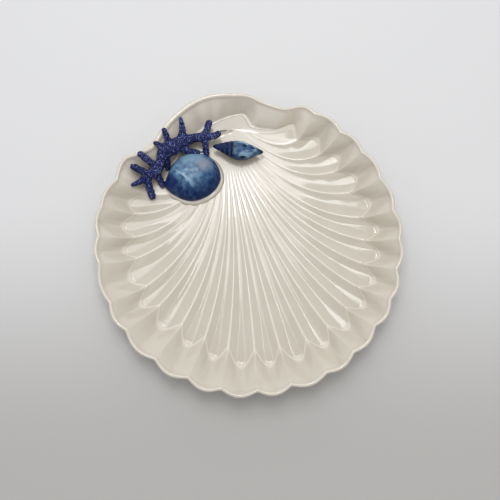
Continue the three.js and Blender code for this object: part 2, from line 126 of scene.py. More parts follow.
class PlateSizes(bpy.types.PropertyGroup):
    """Sizes of the dish and its trimmings"""

    cusp_radius: FloatProperty(
        name="Cusp Radius", description="From the middle out to the cusps of the rim",
        default=0.1415, unit="LENGTH"
    )
    lip_width: FloatProperty(
        name="Lip Width", description="Thickness of the rounded lip", default=0.0038, unit="LENGTH"
    )
    floor_thickness: FloatProperty(
        name="Floor Thickness", description="Of the floor over the foot", default=0.0045, unit="LENGTH"
    )
    flute_depth: FloatProperty(
        name="Flute Depth", description="Crest over valley at the foot of the wall",
        default=0.0028, unit="LENGTH"
    )
    wall_fold: FloatProperty(
        name="Wall Fold", description="How far a lobe's wall folds out between its crests",
        default=0.0068, unit="LENGTH"
    )
    petal_sink: FloatProperty(
        name="Petal Sink", description="Depth of the step at a valley's end",
        default=0.0008, unit="LENGTH"
    )
    ledge_rise: FloatProperty(
        name="Ledge Rise", description="Hinge ledge over the floor", default=0.0003, unit="LENGTH"
    )
    hub_inset: FloatProperty(
        name="Hub Inset", description="From the cusps in to the middle of the hub",
        default=0.044, unit="LENGTH"
    )
    hub_angle: FloatProperty(
        name="Hub Angle", description="Direction of the hub",
        default=math.radians(106.7), subtype="ANGLE"
    )
    columns_per_lobe: IntProperty(
        name="Columns per Lobe", description="Mesh fineness across a lobe", default=38
    )
    hinge_columns: IntProperty(
        name="Hinge Columns", description="Mesh fineness round the hinge", default=160
    )
    floor_rows: IntProperty(
        name="Floor Rows", description="Mesh fineness from hub to wall", default=40
    )
    bed_edge: FloatProperty(
        name="Bed Edge", description="How far the cockle's bed shows past it",
        default=0.0008, unit="LENGTH"
    )
    foot_width: FloatProperty(
        name="Foot Width", description="Of the foot ring", default=0.007, unit="LENGTH"
    )
    coral_voxel: FloatProperty(
        name="Coral Grain", description="Voxel that fuses the coral coils",
        default=0.00045, unit="LENGTH"
    )
    coral_web: FloatProperty(
        name="Coral Web", description="How far the glaze webs the corners between coils",
        default=0.0016, unit="LENGTH"
    )
    coral_pores: FloatProperty(
        name="Coral Pores", description="Depth of the pores in the coral", default=0.001, unit="LENGTH"
    )


COLOUR = {"subtype": "COLOR", "size": 4}


class PlateColours(bpy.types.PropertyGroup):
    """Glazes"""

    cream: FloatVectorProperty(
        name="Cream", description="Ivory glaze of the dish",
        default=(0.662, 0.612, 0.522, 1), **COLOUR
    )
    # Thin glaze over edges and the lip; on the hinge wall it is painted light, and round the hub and
    # along the bead painted highlight lines
    cream_thin_and_painted_light: FloatVectorProperty(
        name="Thin Cream", description="Where it runs thin, over edges and on the hinge wall",
        default=(0.83, 0.765, 0.675, 1), **COLOUR
    )
    # Painted shade on the hinge ledge
    cream_painted_shade: FloatVectorProperty(
        name="Thick Cream", description="Where it pools on the hinge ledge",
        default=(0.53, 0.49, 0.415, 1), **COLOUR
    )
    cream_cloud: FloatVectorProperty(
        name="Cream Cloud", description="Tone that its ripple multiplies in",
        default=(0.955, 0.95, 0.94, 1), **COLOUR
    )
    biscuit: FloatVectorProperty(
        name="Biscuit", description="Bare clay under the foot",
        default=(0.62, 0.54, 0.43, 1), **COLOUR
    )
    cobalt: FloatVectorProperty(
        name="Cobalt", description="Body of the coral glaze",
        default=(0.008, 0.014, 0.075, 1), **COLOUR
    )
    violet: FloatVectorProperty(
        name="Violet", description="Speckle of the coral glaze",
        default=(0.18, 0.21, 0.47, 1), **COLOUR
    )
    sea_light: FloatVectorProperty(
        name="Light Sea Blue", description="Thin wash on the shells",
        default=(0.152, 0.283, 0.45, 1), **COLOUR
    )
    sea_mid: FloatVectorProperty(
        name="Sea Blue", description="Wash on the shells",
        default=(0.035, 0.09, 0.2, 1), **COLOUR
    )
    sea_pale: FloatVectorProperty(
        name="Pale Sea Blue", description="Where the wash breaks",
        default=(0.25, 0.39, 0.52, 1), **COLOUR
    )
    sea_grey: FloatVectorProperty(
        name="Grey Wash", description="Where clay shows through",
        default=(0.33, 0.33, 0.37, 1), **COLOUR
    )
    sea_dark: FloatVectorProperty(
        name="Dark Sea Blue", description="Pooled wash on the shells",
        default=(0.004, 0.018, 0.088, 1), **COLOUR
    )
    # In the spiral's bands and slits; low on its front and where the coral faces down it is painted shade
    sea_night_and_painted_shade: FloatVectorProperty(
        name="Night Sea Blue", description="In bands and slits, and low on the coral",
        default=(0.002, 0.006, 0.034, 1), **COLOUR
    )
    beak_violet: FloatVectorProperty(
        name="Beak Violet", description="Wash over the beak and the spire",
        default=(0.014, 0.026, 0.115, 1), **COLOUR
    )
    floor: FloatVectorProperty(
        name="Floor", description="Table under the dish",
        default=(0.76, 0.76, 0.765, 1), **COLOUR
    )
    # Painted shade: the table darker towards the viewer, standing in for the light's falloff and the
    # shadow south of the dish
    floor_front_painted_shade: FloatVectorProperty(
        name="Front Floor", description="Table towards the viewer",
        default=(0.5, 0.49, 0.475, 1), **COLOUR
    )


class PlateView(bpy.types.PropertyGroup):
    """Camera"""

    distance: FloatProperty(
        name="Distance", description="Camera from its target", default=0.616, unit="LENGTH"
    )
    elevation: FloatProperty(
        name="Elevation", description="Camera above the table", default=math.radians(80), subtype="ANGLE"
    )
    target: FloatVectorProperty(
        name="Target", description="Looked-at point from the middle of the dish",
        subtype="TRANSLATION", default=(0.0014, -0.0079, 0.015)
    )
    focal_share: FloatProperty(
        name="Focal Share", description="Focal length over the picture's width", default=1.29
    )


# Small maths
def lerp(a, b, share):
    return a + (b - a) * share


def smooth(value, low=0.0, high=1.0):
    share = min(max((value - low) / (high - low), 0.0), 1.0)
    return share * share * (3 - 2 * share)


def polar(radius, degrees):
    turn = math.radians(degrees)
    return Vector((math.cos(turn), math.sin(turn))) * radius


def bend_between(start, bend, end, share):
    return start.lerp(bend, share).lerp(bend.lerp(end, share), share)


def through(points, share):
    """Point on the smooth curve through evenly spaced points"""
    last = len(points) - 1
    place = share * last
    index = min(int(place), last - 1)
    t = place - index
    before, here, there, after = (points[min(max(index + k, 0), last)] for k in (-1, 0, 1, 2))
    return tuple(
        0.5 * (2 * b + (c - a) * t + (2 * a - 5 * b + 4 * c - d) * t * t + (3 * b - a - 3 * c + d) * t**3)
        for a, b, c, d in zip(before, here, there, after)
    )


def along_rim(table, degrees):
    """Value of a falling table of (degrees, millimetres), eased between its rows"""
    for (start, first), (end, second) in zip(table, table[1:]):
        if degrees >= end:
            return lerp(first, second, smooth((start - degrees) / (start - end))) * MM
    return table[-1][1] * MM


# Plan and section of the flutes
CUSP_ROUND = 0.1  # how blunt the cusps of the rim are
CREST_ROUND = 0.03  # half the width of a crest's round edge, as a share of the lobe
SLOPE_SHARE = 0.42  # of a lobe, from a crest down to the flat of its valley
HUB_SLOPE_SHARE = 0.3  # the same beside the hub
PETAL_SLOPE_SHARE = 0.3  # and at the petal's round end
SLOPE_FILLET = 0.12  # how gently the slope meets that flat
STRAIGHT_ANGLE = -75  # the flute that runs straightest
# How far out a flute bends, as a share of the way to the rim: on the straightest flute, and how much
# further out on one that is a span of degrees away from it
BEND_SHARE, BEND_GROWTH, BEND_SPAN = 0.25, 0.35, 137

# Along the floor, in shares of the way from the hub to the foot of the wall
SLOPE_GROWN = 0.7  # where the slope beside the hub has become the usual one
PETAL_SLOPE = (0.72, 0.98)  # where that becomes the petal's
PETAL_SINKS = (0.5, 0.9)  # where a valley sinks to its petal
# A flute's depth: most of it grows by a power of the share, the rest soon after the hub
FLUTE_START, FLUTE_POWER, FLUTE_POWER_PART = 0.06, 1.9, 0.96
BEAD_FROM, BEAD_RISE = 0.9, 0.4 * MM  # a bead of pooled glaze along the foot of the hinge wall, painted with a highlight line
HUB_LINE = (0.02, 0.07)  # where the painted highlight round the hub ends
CREST_LINE_START = (0.02, 0.12)  # where the thin glaze on a crest starts

# Up the wall, in shares of its run
VALLEY_FILLET, CREST_FILLET, HINGE_FILLET = 0.13, 0.35, 0.15  # where it curves up from the floor
VALLEY_REACH, CREST_REACH = -2 * MM, 7 * MM  # how much the wall's run differs there
FOLD_FULLNESS = 0.6  # under 1 keeps the lobes folded nearer to their foot and lip
FOOT_STEP = 0.05  # the step round the end of a valley
FOOT_LINE = 0.18  # where the thin glaze on that step ends
CREST_LINE_END = 0.4  # where the thin glaze on a crest ends
WALL_LINE = 0.3  # where the painted light and the streaks on the hinge wall reach full strength
LIP_LINE, OUTER_LIP_LINE = 0.9, 0.8  # where the thin glaze of the lip starts, inside and outside

# Hinge, in shares of its length from left to right
HINGE_BEND_SHARE = 0.88  # its bend, as a share of the way to the rim
HINGE_ROUND = 0.6  # under 1 brings that bend nearer to its ends
CREST_FADE = 0.08  # where the crests at its ends die out
HINGE_LIP = 1.6  # lip on its left, in usual widths
HINGE_LIP_START, HINGE_LIP_END = (0.02, 0.15), (0.4, 0.65)
# Degrees of the corner in its wall, and how far off it the line of thin glaze fades
HINGE_CORNER, CORNER_LINE = 91.5, (0.8, 2.5)
LEDGE_LEFT, LEDGE_RIGHT = (0.2, 0.5), 0.3  # where its ledge comes up, and how long it goes down
GLAZE_STREAK, STREAKS = 1, 60  # upright streaks in the glaze of its wall: strength, and how many
STREAK_SLICE = 0.5  # where they cut the noise
STREAK_END = (0.5, 0.65)

# How thin the glaze runs over lip, crests and valley ends; how strong the painted highlights on the hinge
# ledge and the painted light on the hinge wall are
LIP_THIN, CREST_THIN, FOOT_THIN, LEDGE_PAINTED_HIGHLIGHT, WALL_PAINTED_LIGHT = 0.25, 0.8, 1, 1, 0.9
LEDGE_PAINTED_SHADE = 1  # how strong the painted shade on the hinge ledge is, between the painted highlight lines of its edges
CREST_LINE = 0.84  # how high on a crest its thin glaze starts

# Mesh of the dish
WALL_ROWS, LIP_ROWS, OUTER_ROWS = 16, 8, 10
HUB_INNER = 0.6  # of the way to the hub's edge, its ring of points
FLOOR_CROWDING, WALL_CROWDING = 1.25, 1.5  # over 1 crowds the rows at the foot of the wall


def soft_min(value, round_off):
    """The lesser of a value and 1, rounded off where they meet"""
    return 0.5 * (value + 1 - math.hypot(value - 1, round_off))


def lobe_swell(across):
    """Plan of a lobe: 0 on its cusps, 1 in its middle"""
    wave = math.sin(math.pi * across)
    return (math.hypot(wave, CUSP_ROUND) - CUSP_ROUND) / (math.hypot(1, CUSP_ROUND) - CUSP_ROUND)


def crest_at(across, slope=PETAL_SLOPE_SHARE):
    """Section of a flute: 1 on a crest, 0 on the flat of the valley"""
    off = min(across, 1 - across)
    rise = (math.hypot(off, CREST_ROUND) - CREST_ROUND) / slope
    top = (math.hypot(0.5, CREST_ROUND) - CREST_ROUND) / slope
    low = soft_min(0, SLOPE_FILLET)
    return 1 - (soft_min(rise, SLOPE_FILLET) - low) / (soft_min(top, SLOPE_FILLET) - low)


def bend_share(degrees):
    return BEND_SHARE + BEND_GROWTH * ((degrees - STRAIGHT_ANGLE) / BEND_SPAN) ** 2


def wall_rise(share, fillet):
    """Height of the wall over its run: it curves up from the floor, then runs straight"""
    straight = 1 - fillet / 2
    if share < fillet:
        return share**2 / (2 * fillet) / straight
    return (share - fillet / 2) / straight


def flute_station(sizes, hub, place):
    """What a column needs to know at a place counted in lobes from the hinge"""
    lobe = min(int(place), LOBES - 1)
    across = place - lobe
    degrees, out = (lerp(a, b, across) for a, b in zip(CUSPS[lobe], CUSPS[lobe + 1]))
    swell, arch = along_rim(LOBE_SWELL, degrees), lobe_swell(across)
    pleat = 1 - abs(2 * across - 1)
    rim = polar(sizes.cusp_radius + out * MM + swell * arch, degrees)
    crest = crest_at(across)
    return {
        "rim": rim,
        "bend": rim * bend_share(degrees),
        "fold": sizes.wall_fold * (pleat - 0.5) + swell * (pleat - arch),
        "hub": hub + bend_between(HUB_TOP, HUB_LOW_BEND, HUB_LEFT, place / LOBES),
        "across": across,
        "crest": crest,
        "wall": along_rim(WALL_RUN, degrees) + lerp(VALLEY_REACH, CREST_REACH, crest),
        "fillet": lerp(VALLEY_FILLET, CREST_FILLET, crest),
        "ledge": 0,
        "thin": 0,
        "lip": 1,
        "sink": sizes.petal_sink * (1 - crest),
    }


def hinge_station(sizes, hub, share):
    """The same at a share of the hinge"""
    degrees, out = through(HINGE_RIM, share)
    hinge = math.sin(math.pi * share) ** HINGE_ROUND
    rim = polar(sizes.cusp_radius + out * MM, degrees)
    ends = lerp(bend_share(LAST), bend_share(FIRST), share)
    crest = 1 - smooth(min(share, 1 - share), 0, CREST_FADE)
    streak = GLAZE_STREAK * noise.noise(Vector((share * STREAKS, STREAK_SLICE, STREAK_SLICE)))
    # Painted light makes the hinge wall paler, with upright streaks in its glaze
    wall_painted_light_and_streaks = (WALL_PAINTED_LIGHT + streak * (1 - smooth(share, *STREAK_END))) * (1 - crest)
    corner_thin = 1 - smooth(abs(degrees - HINGE_CORNER), *CORNER_LINE)
    wide_lip = smooth(share, *HINGE_LIP_START) * (1 - smooth(share, *HINGE_LIP_END))
    return {
        "rim": rim,
        "bend": rim * lerp(ends, HINGE_BEND_SHARE, hinge),
        "fold": -0.5 * sizes.wall_fold * crest,
        "hub": hub + bend_between(HUB_LEFT, HUB_HIGH_BEND, HUB_TOP, share),
        "across": min(min(share, 1 - share) / CREST_FADE * PETAL_SLOPE_SHARE, 0.5),
        "crest": crest,
        "wall": along_rim(HINGE_WALL_RUN, degrees),
        "fillet": lerp(HINGE_FILLET, CREST_FILLET, crest),
        "thin": max(wall_painted_light_and_streaks, corner_thin),
        "lip": lerp(1, HINGE_LIP, wide_lip),
        "ledge": smooth(share, *LEDGE_LEFT) * smooth(1 - share, 0, LEDGE_RIGHT),
        "sink": 0,
    }


def dish_column(sizes, hub, station):
    """Points of one column from the hub over the lip to the middle of the underside

    Each has how thin the glaze runs there, with painted light and highlights on the hinge; under 0 it is
    painted shade on the hinge ledge.
    """
    rim, bend, start, crest = station["rim"], station["bend"], station["hub"], station["crest"]
    lip_wide = sizes.lip_width * station["lip"]
    lip_round = lip_wide / 2
    lip_z = DISH_HIGH.z - lip_round
    floor_z = FOOT_TOP + sizes.floor_thickness
    out = rim.normalized()
    lip = rim - out * lip_wide
    foot = 1 - station["wall"] / (2 * (lip - bend).length)
    fillet = station["fillet"]
    edge = CREST_THIN * smooth(crest, CREST_LINE, 1)

    def floor_height(share):
        slope = lerp(HUB_SLOPE_SHARE, SLOPE_SHARE, smooth(share, 0, SLOPE_GROWN))
        slope = lerp(slope, PETAL_SLOPE_SHARE, smooth(share, *PETAL_SLOPE))
        growth = lerp(smooth(share, 0, FLUTE_START), share**FLUTE_POWER, FLUTE_POWER_PART)
        flute = crest_at(station["across"], slope) * sizes.flute_depth * growth
        sink = station["sink"] * smooth(share, *PETAL_SINKS)
        bead = BEAD_RISE * math.sin(math.pi * max(share - BEAD_FROM, 0) / (1 - BEAD_FROM)) ** 2
        return floor_z + flute - sink + station["ledge"] * (sizes.ledge_rise * smooth(share) + bead)

    def wall_plan(share):
        fold = station["fold"] * max(math.sin(math.pi * share), 0) ** FOLD_FULLNESS
        return bend_between(start, bend, lip, lerp(foot, 1, share)) + out * fold

    rows = []

    def add(plan, height, thin):
        rows.append((Vector((plan.x, plan.y, height)), thin))

    add(hub, floor_z, 0)
    add(hub.lerp(start, HUB_INNER), floor_z, 0)
    for row in range(sizes.floor_rows + 1):
        share = 1 - (1 - row / sizes.floor_rows) ** FLOOR_CROWDING
        # On the hinge ledge: painted highlight lines round the hub and along the bead, and painted shade
        # between them
        ends = max(1 - smooth(share, *HUB_LINE), smooth(share, BEAD_FROM, 1))
        ledge = station["ledge"] * lerp(-LEDGE_PAINTED_SHADE, LEDGE_PAINTED_HIGHLIGHT, ends)
        thin = edge * smooth(share, *CREST_LINE_START) + ledge
        add(bend_between(start, bend, lip, foot * share), floor_height(share), thin)
    for row in range(1, WALL_ROWS + 1):
        share = (row / WALL_ROWS) ** WALL_CROWDING
        line = smooth(share, 0, FOOT_STEP) * (1 - smooth(share, FOOT_STEP, FOOT_LINE))
        thin = max(
            edge * (1 - smooth(share, 0, CREST_LINE_END)),
            FOOT_THIN * line,
            LIP_THIN * smooth(share, LIP_LINE, 1),
            station["thin"] * smooth(share, 0, WALL_LINE),
        )
        start_z = floor_height(1) + station["sink"] * smooth(share, 0, FOOT_STEP)
        height = lerp(start_z, lip_z, wall_rise(share, fillet))
        add(wall_plan(share), height, thin)
    for row in range(1, LIP_ROWS + 1):
        turn = math.pi * row / LIP_ROWS
        plan = lip + out * lip_round * (1 - math.cos(turn))
        add(plan, lip_z + lip_round * math.sin(turn), LIP_THIN)
    for row in range(OUTER_ROWS - 1, -1, -1):
        share = row / OUTER_ROWS
        plan = wall_plan(share) + out * lip_wide * share
        height = lerp(FOOT_TOP, lip_z, wall_rise(share, fillet))
        add(plan, height, LIP_THIN * smooth(share, OUTER_LIP_LINE, 1))
    add(hub, FOOT_TOP, 0)
    return rows


def hub_middle(sizes):
    return polar(sizes.cusp_radius - sizes.hub_inset, math.degrees(sizes.hub_angle))


def dish_columns(sizes):
    hub = hub_middle(sizes)
    columns = []
    for lobe in range(LOBES):
        for step in range(sizes.columns_per_lobe):
            place = lobe + step / sizes.columns_per_lobe
            columns.append(dish_column(sizes, hub, flute_station(sizes, hub, place)))
    for step in range(sizes.hinge_columns):
        station = hinge_station(sizes, hub, step / sizes.hinge_columns)
        columns.append(dish_column(sizes, hub, station))
    return columns


# Meshes of the small pieces
ROUND_COLUMNS, DOME_ROWS, SPIRAL_ROWS, SPIRAL_COLUMNS, RING_COLUMNS = 144, 48, 160, 72, 180
WELD = 1e-6  # how near two points are merged, in metres

# Cockle: which way its crease faces, and its place and width in shares of the shell's radius
CREASE_FACING, CREASE_PLACE, CREASE_WIDTH = Vector((-0.66, -0.75)), 0.23, 0.07
CREASE_RISE, DOME_WAVE = 0.5 * MM, 0.5 * MM
DOME_WAVES = 90  # of its uneven surface, per metre

# Slip beds, from the middle below to the middle on top: share of the edge, share of the height
BED_SECTION = [(0, 0), (1.06, 0), (1.01, 0.3), (1, 0.7), (0.99, 0.9), (0.965, 1), (0, 1)]
BED_THIN = 0.5  # how thin the glaze runs over them
SPIRAL_BED_PLACE = 0.52  # along the spiral shell
SPIRAL_BED_WIDTH = 0.9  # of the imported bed's

# Spiral shell, in shares of its length unless it says otherwise
WHORL_START, WHORL_PITCH, WHORL_END = 0.0875, 0.1, 0.44
WHORL_STEP, SLIT_DEPTH, SPIRAL_LEAN = 0.5 * MM, 0.9 * MM, 1.3 * MM
SPIRE_START, SPIRE_FADE = (0.02, 0.06), 0.04  # where its whorls come in, and how long they fade
LEAN_START, LEAN_END = (0.1, 0.5), (0.65, 1)  # where it leans to the front, and no longer
BAND_EDGE = (0.18, 0.34)  # of a whorl, where its dark band ends
BAND_TONE, BAND_GROWTH = 0.5, (0.15, 0.3)  # the bands are that dark near the tip, and grow to full
TIP_END = (0.04, 0.11)  # where the dark tip ends
SHOULDER_TONE, SHOULDER_START, SHOULDER_END = 0.6, (0.38, 0.42), (0.43, 0.54)  # a band after them
CANAL_TONE, CANAL_START = 0.9, (0.84, 0.95)  # the dark end
FRONT_PAINTED_SHADE, FRONT_SHADE_START = 0.9, (62, 85)  # painted shade on its front, low down: how dark, and in degrees from the top where it comes in
SLIT_HALF, SLIT_SOFT = 13, 2  # half a slit's width and the softness of its edge, in degrees round it
SLIT_FLAT, SLIT_ROUND = 0.7, 0.5  # share of that width that is flat; under 1 rounds the ends
SPIRE_WASH_BEFORE, SPIRE_WASH_AFTER = 0.08, 0.02  # its wash ends there, off the last whorl's end

# Foot ring
FOOT_ROUND = 0.5  # of half the foot's width
CORNER_STEPS = 6  # faces round each lower edge


def cockle_edge(share, grow):
    degrees, out = through(COCKLE_OUTLINE, share)
    return polar(out * MM + grow, degrees)


def cockle_columns(middle):
    """A domed shell with a low crease over its beak and an uneven surface"""
    low, high = COCKLE_LOW.z, COCKLE_HIGH.z
    columns = []
    for column in range(ROUND_COLUMNS):
        edge = cockle_edge(column / ROUND_COLUMNS, 0)
        rows = [(Vector((middle.x, middle.y, low)), 0)]
        for row in range(DOME_ROWS + 1):
            turn = math.pi / 2 * row / DOME_ROWS
            plan = edge * math.cos(turn)
            across = plan.dot(CREASE_FACING) / edge.length - CREASE_PLACE
            crease = CREASE_RISE * math.exp(-((across / CREASE_WIDTH) ** 2))
            wave = DOME_WAVE * noise.noise(plan.to_3d() * DOME_WAVES)
            up = math.sin(turn)
            height = lerp(low, high - CREASE_RISE, up) + (crease + wave) * up
            rows.append((Vector((middle.x + plan.x, middle.y + plan.y, height)), 0))
        columns.append(rows)
    return columns


def bed_columns(middle, edge_at, low, high):
    """A pad of slip with a rounded shoulder and a flared foot"""
    columns = []
    for column in range(ROUND_COLUMNS):
        edge = edge_at(column / ROUND_COLUMNS)
        rows = []
        for share, up in BED_SECTION:
            plan = middle + edge * share
            rows.append((Vector((plan.x, plan.y, lerp(low, high, up))), BED_THIN))
        columns.append(rows)
    return columns


def spiral_slit(along, degrees):
    """How deep in a slit a point of the spiral shell lies, from 0 to 1"""
    slit = 0
    for first, last, turn in SPIRAL_SLITS:
        share = min(max((along - first) / (last - first), 0), 1)
        half_wide = SLIT_HALF * math.sin(math.pi * share) ** SLIT_ROUND
        if half_wide:
            off = abs(degrees - turn)
            slit = max(slit, 1 - smooth(off, SLIT_FLAT * half_wide, half_wide + SLIT_SOFT))
    return slit


def spiral_columns(tip, end):
    """A spindle lying on its side: stepped whorls wind up its spire, slits mark its mouth"""
    axis = (end - tip).to_3d()
    north = Vector((-axis.y, axis.x, 0)).normalized()
    widest = (SPIRAL_HIGH.z - SPIRAL_LOW.z) / 2
    middle_z = (SPIRAL_HIGH.z + SPIRAL_LOW.z) / 2
    columns = []
    for column in range(SPIRAL_COLUMNS):
        degrees = 360 * column / SPIRAL_COLUMNS - 180
        turn = math.radians(degrees)
        out = math.cos(turn) * Vector((0, 0, 1)) + math.sin(turn) * north
        rows = []
        for row in range(SPIRAL_ROWS + 1):
            along, wide = through(SPIRAL_PROFILE, row / SPIRAL_ROWS)
            winding = ((along - WHORL_START) / WHORL_PITCH + degrees / 360) % 1
            spire = smooth(along, *SPIRE_START) * (1 - smooth(along, WHORL_END - SPIRE_FADE, WHORL_END))
            step = spire * WHORL_STEP * (winding - 0.5)
            band = 1 - smooth(min(winding, 1 - winding), *BAND_EDGE)
            shoulder = smooth(along, *SHOULDER_START) * (1 - smooth(along, *SHOULDER_END))
            # Dark bands, tip, shoulder band and canal end, and painted shade low on its front
            dark = max(
                spire * band * lerp(BAND_TONE, 1, smooth(along, *BAND_GROWTH)),
                1 - smooth(along, *TIP_END),
                SHOULDER_TONE * shoulder,
                CANAL_TONE * smooth(along, *CANAL_START),
                FRONT_PAINTED_SHADE * smooth(-degrees, *FRONT_SHADE_START),
            )
            slit = spiral_slit(along, degrees)
            at_end = row in (0, SPIRAL_ROWS)
            radius = 0 if at_end else max(wide * widest + step - slit * SLIT_DEPTH, 0)
            lean = SPIRAL_LEAN * smooth(along, *LEAN_START) * (1 - smooth(along, *LEAN_END))
            place = tip.to_3d() + axis * along - north * lean + out * radius + Vector((0, 0, middle_z))
            rows.append((place, max(dark, slit)))
        columns.append(rows)
    return columns


def ring_columns(sizes):
    """A turned foot with rounded lower edges; its sole is bare clay"""
    outer = (RING_HIGH.x - RING_LOW.x) / 2
    half = sizes.foot_width / 2
    corner = half * FOOT_ROUND
    section = [(-half, RING_HIGH.z, 0)]
    for side, start in ((-1, math.pi), (1, 1.5 * math.pi)):
        for step in range(CORNER_STEPS + 1):
            turn = start + math.pi / 2 * step / CORNER_STEPS
            across = side * (half - corner) + corner * math.cos(turn)
            up = RING_LOW.z + corner * (1 + math.sin(turn))
            section.append((across, up, 1 - smooth(up, RING_LOW.z, RING_LOW.z + corner)))
    section += [(half, RING_HIGH.z, 0), section[0]]
    columns = []
    for column in range(RING_COLUMNS):
        rows = []
        for across, up, bare in section:
            plan = polar(outer - half + across, 360 * column / RING_COLUMNS)
            rows.append((Vector((plan.x, plan.y, up)), bare))
        columns.append(rows)
    return columns


# Meshes and objects
def finish_piece(context, name, bm, material, nodes):
    bmesh.ops.recalc_face_normals(bm, faces=bm.faces)
    mesh = bpy.data.meshes.new(name)
    bm.to_mesh(mesh)
    bm.free()
    mesh.materials.append(material)
    for face in mesh.polygons:
        face.use_smooth = True
    piece = bpy.data.objects.new(name, mesh)
    context.scene.collection.objects.link(piece)
    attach(piece, "root")
    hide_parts(*nodes)
    return piece


def skin(bm, columns, layer):
    """Close a grid of columns into a skin, its poles and seam merged, with their values in a layer"""
    rows = len(columns[0])
    values = bm.verts.layers.float.new(layer)
    bmesh.ops.create_grid(bm, x_segments=len(columns), y_segments=rows - 1, size=1)
    for vert in bm.verts:
        column = round((vert.co.x + 1) / 2 * len(columns)) % len(columns)
        row = round((vert.co.y + 1) / 2 * (rows - 1))
        vert.co, vert[values] = columns[column][row]
    bmesh.ops.remove_doubles(bm, verts=bm.verts, dist=WELD)
    bmesh.ops.translate(bm, verts=bm.verts, vec=DISH_MIDDLE.to_3d())


# Materials
def new_node(tree, kind, **settings):
    node = tree.nodes.new("ShaderNode" + kind)
    for name, value in settings.items():
        setattr(node, name, value)
    return node


def set_inputs(node, **values):
    for name, value in values.items():
        node.inputs[name.replace("_", " ")].default_value = value


def new_material(name):
    material = bpy.data.materials.new(name)
    material.use_nodes = True
    tree = material.node_tree
    return material, tree, tree.nodes["Principled BSDF"]


def wire(tree, socket, value):
    if isinstance(value, bpy.types.NodeSocket):
        tree.links.new(value, socket)
    else:
        socket.default_value = value


def mix_colours(tree, mask, first, second, blend="MIX"):
    node = new_node(tree, "Mix", data_type="RGBA", blend_type=blend)
    # sockets of a mix of colours: its factor, both colours and the result
    for index, value in ((0, mask), (6, first), (7, second)):
        wire(tree, node.inputs[index], value)
    return node.outputs[2]


def maths(tree, operation, *values, kind="Math", output="Value"):
    node = new_node(tree, kind, operation=operation)
    for socket, value in zip(node.inputs, values):
        wire(tree, socket, value)
    return node.outputs[output]


def vectors(tree, operation, output, *values):
    return maths(tree, operation, *values, kind="VectorMath", output=output)


def mask_between(tree, value, low, high):
    node = new_node(tree, "MapRange", interpolation_type="SMOOTHSTEP")
    for name, setting in (("Value", value), ("From Min", low), ("From Max", high)):
        wire(tree, node.inputs[name], setting)
    return node.outputs["Result"]


def cloud(tree, where, scale, detail, output="Fac"):
    node = new_node(tree, "TexNoise")
    for name, setting in (("Vector", where), ("Scale", scale), ("Detail", detail)):
        wire(tree, node.inputs[name], setting)
    return node.outputs[output]


def placed(tree, middle, reach):
    """Object coordinates measured from a middle, in shares of a reach, laid flat"""
    where = new_node(tree, "TexCoord")
    mapping = new_node(tree, "Mapping")
    share = 1 / reach
    set_inputs(mapping, Location=(-middle.x * share, -middle.y * share, 0), Scale=(share, share, 0))
    tree.links.new(where.outputs["Object"], mapping.inputs["Vector"])
    return mapping.outputs["Vector"]


def attribute(tree, name):
    return new_node(tree, "Attribute", attribute_name=name).outputs["Fac"]


def glaze_ripple_group():
    """Slow ripple of a fired glaze and its fine orange peel, as a height"""
    found = bpy.data.node_groups.get("glaze_ripple")
    if found:
        return found
    group = bpy.data.node_groups.new("glaze_ripple", "ShaderNodeTree")
    for name in ("Ripple Scale", "Peel Scale", "Peel Share"):
        group.interface.new_socket(name=name, in_out="INPUT", socket_type="NodeSocketFloat")
    for name in ("Height", "Tone"):
        group.interface.new_socket(name=name, in_out="OUTPUT", socket_type="NodeSocketFloat")
    given = group.nodes.new("NodeGroupInput").outputs
    result = group.nodes.new("NodeGroupOutput").inputs
    where = new_node(group, "TexCoord").outputs["Object"]
    ripple = cloud(group, where, given["Ripple Scale"], detail=2)
    peel = cloud(group, where, given["Peel Scale"], detail=1)
    height = maths(group, "MULTIPLY_ADD", peel, given["Peel Share"], ripple)
    group.links.new(height, result["Height"])
    group.links.new(ripple, result["Tone"])
    return group


def add_ripple(tree, shader, ripple_scale, peel_scale, peel_share, height, strength):
    node = tree.nodes.new("ShaderNodeGroup")
    node.node_tree = glaze_ripple_group()
    set_inputs(node, Ripple_Scale=ripple_scale, Peel_Scale=peel_scale, Peel_Share=peel_share)
    bump = new_node(tree, "Bump")
    set_inputs(bump, Distance=height, Strength=strength)
    tree.links.new(node.outputs["Height"], bump.inputs["Height"])
    tree.links.new(bump.outputs["Normal"], shader.inputs["Normal"])
    return node


def cream_glaze(colours):
    """Ivory glaze: paler where it runs thin, with painted light and highlights on the hinge and painted
    shade on its ledge, bare clay under the foot
    """
    found = bpy.data.materials.get("cream_glaze_gloss")
    if found:
        return found
    material, tree, shader = new_material("cream_glaze_gloss")
    set_inputs(shader, Roughness=0.12, IOR=1.5, Coat_Weight=0.6, Coat_Roughness=0.04)
    ripple = add_ripple(
        tree, shader, ripple_scale=40, peel_scale=300, peel_share=0.012, height=0.0008, strength=0.2
    )
    # Thin glaze, and on the hinge painted light and painted highlights
    thin = attribute(tree, "thin_glaze_and_painted_light")
    colour = mix_colours(tree, thin, colours.cream, colours.cream_thin_and_painted_light)
    # Under 0 the layer is painted shade on the hinge ledge
    painted_ledge_shade = maths(tree, "MULTIPLY", thin, -1)
    colour = mix_colours(tree, painted_ledge_shade, colour, colours.cream_painted_shade)
    tone = mask_between(tree, ripple.outputs["Tone"], low=0.75, high=0.3)
    colour = mix_colours(tree, tone, colour, colours.cream_cloud, "MULTIPLY")
    colour = mix_colours(tree, attribute(tree, "bare_clay"), colour, colours.biscuit)
    tree.links.new(colour, shader.inputs["Base Color"])
    return material


